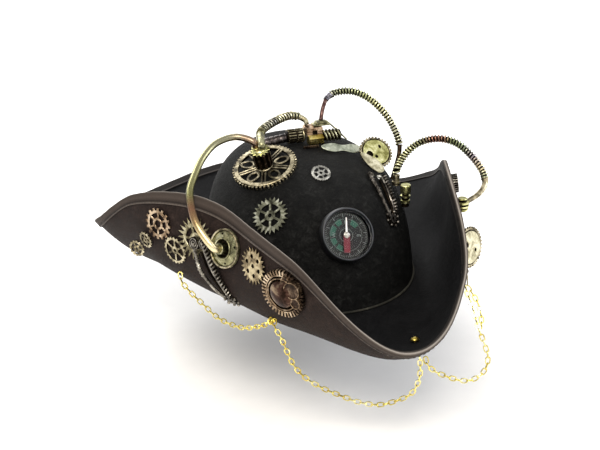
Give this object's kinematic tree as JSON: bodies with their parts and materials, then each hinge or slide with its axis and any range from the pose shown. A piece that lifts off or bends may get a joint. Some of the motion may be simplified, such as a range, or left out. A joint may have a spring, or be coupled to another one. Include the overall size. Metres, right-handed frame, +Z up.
{
  "type": "steampunk hat",
  "caption": "Leather tricorn hat with a domed crown, a turned-up brim, brass gears, wound hoses, a compass with a free needle and hanging chains.",
  "frame": {"origin": "middle of the head opening, in the plane where the crown is sewn to the brim", "axes": "+Z up out of the crown, -Y to the wearer's front, +X to the wearer's left"},
  "size_m": [0.328, 0.4173, 0.2037],
  "materials": {
    "crown_leather": "dark grained leather, soft sheen",
    "brim_leather": "dark brown grained leather, satin",
    "binding_leather": "worn grey-brown leather binding, satin",
    "pale_brass": "pale stamped brass, lightly tarnished",
    "brass": "antiqued brass",
    "gold_brass": "bright polished brass",
    "copper": "dulled copper",
    "bronze": "dark patinated bronze",
    "silvered_metal": "tarnished silver plating",
    "black_plastic": "moulded black plastic",
    "dial_print": "printed black dial",
    "lens_plastic": "clear domed plastic",
    "needle_paint": "painted steel needle, white and red halves"
  },
  "bodies": {
    "hat": {"crown": "crown_leather", "brim": "brim_leather", "brim_binding": "binding_leather", "front_rivet": "gold_brass", "gear_small_front": "pale_brass", "gear_small_back": "pale_brass", "gear_ring": "copper", "gear_six_spoke": "pale_brass", "gear_sunburst": "brass", "gear_drilled": "pale_brass", "copper_wheel": "brass", "gear_crown_large": "pale_brass", "gear_crown_tiny": "silvered_metal", "gear_crown_middle": "brass", "tube_boss": "brass", "spool": "bronze", "spool_cap": "gold_brass", "brass_tube": "gold_brass", "hose_left": "silvered_metal", "hose_left_end": "silvered_metal", "valve_pipe": "bronze", "valve_collar": "brass", "valve_worm": "bronze", "valve_nut": "gold_brass", "valve_block": "copper", "top_plate": "brass", "hose_tall_pipe": "copper", "hose_tall": "silvered_metal", "hose_tall_tail": "bronze", "hose_cup": "gold_brass", "hose_short": "silvered_metal", "hose_short_end": "brass", "hose_terminal": "brass", "crown_fitting": "gold_brass", "wing_plate": "silvered_metal", "wing_leaf": "silvered_metal", "crown_disc": "gold_brass", "clock_hand_left": "bronze", "clock_hand_right": "silvered_metal", "compass_case": "black_plastic", "compass_dial": "dial_print", "compass_lens": "lens_plastic", "ribbed_knob": "bronze", "side_disc": "gold_brass", "chain_loop": "silvered_metal", "chain_left": "gold_brass", "chain_front": "gold_brass", "chain_right": "gold_brass"},
    "compass_needle": {"compass_needle": "needle_paint"}
  },
  "joints": [
    {"name": "needle_swing", "type": "hinge", "parent": "hat", "child": "compass_needle", "pos_m": [0.00034, -0.08893, 0.06162], "axis": [0.0043, -0.8554, 0.5179], "continuous": true}
  ]
}
